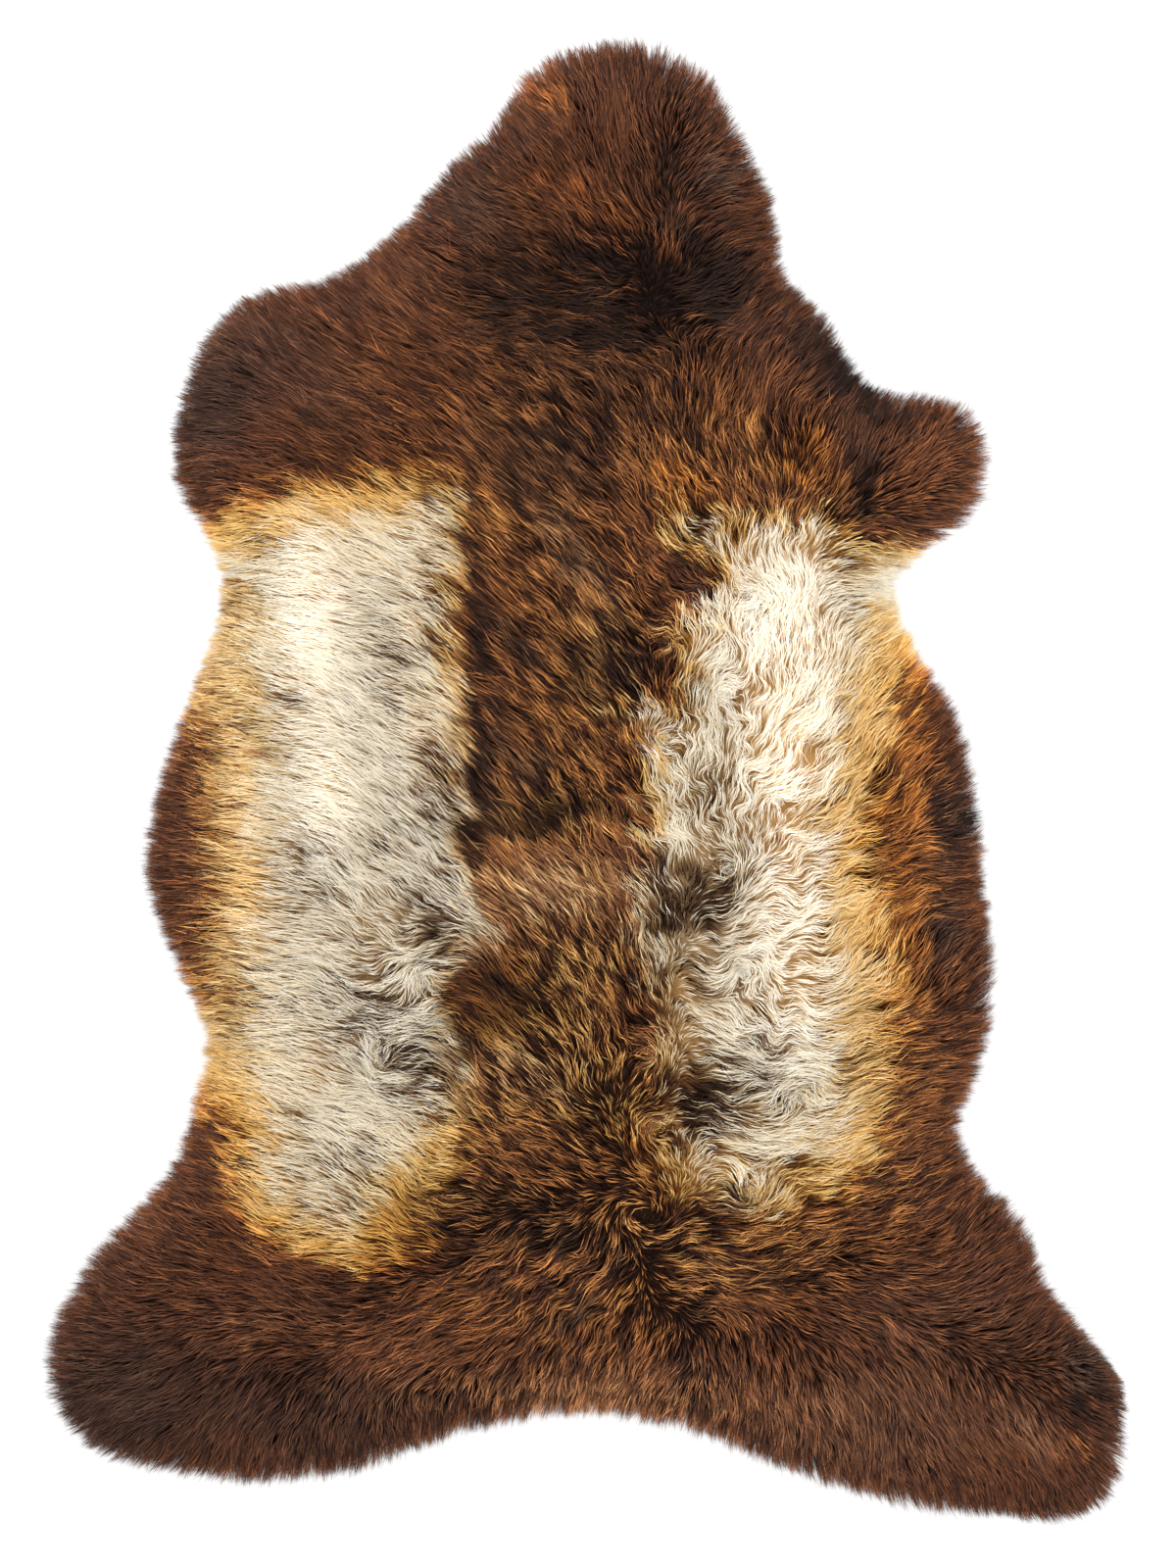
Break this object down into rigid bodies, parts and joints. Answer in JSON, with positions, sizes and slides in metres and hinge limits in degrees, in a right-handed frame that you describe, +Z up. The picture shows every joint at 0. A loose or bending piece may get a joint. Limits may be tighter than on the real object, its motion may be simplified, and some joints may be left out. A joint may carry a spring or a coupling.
{
  "type": "sheepskin rug",
  "caption": "Sheepskin rug laid flat, wool side up: a tanned hide with neck, forelegs and hind legs, under a deep brown and cream fleece.",
  "frame": {"origin": "on the floor under the middle of the rug's plan", "axes": "+Y towards the neck, +X to the right as seen from above with the neck away from the viewer, +Z up out of the wool"},
  "size_m": [0.7532, 1.0304, 0.0476],
  "materials": {
    "leather": "tanned suede flesh side, matt, pale tan",
    "wool": "soft wavy fleece, dark brown with cream sides and amber borders, soft sheen"
  },
  "bodies": {
    "root": {"hide": "leather", "fleece": "wool"}
  },
  "joints": []
}
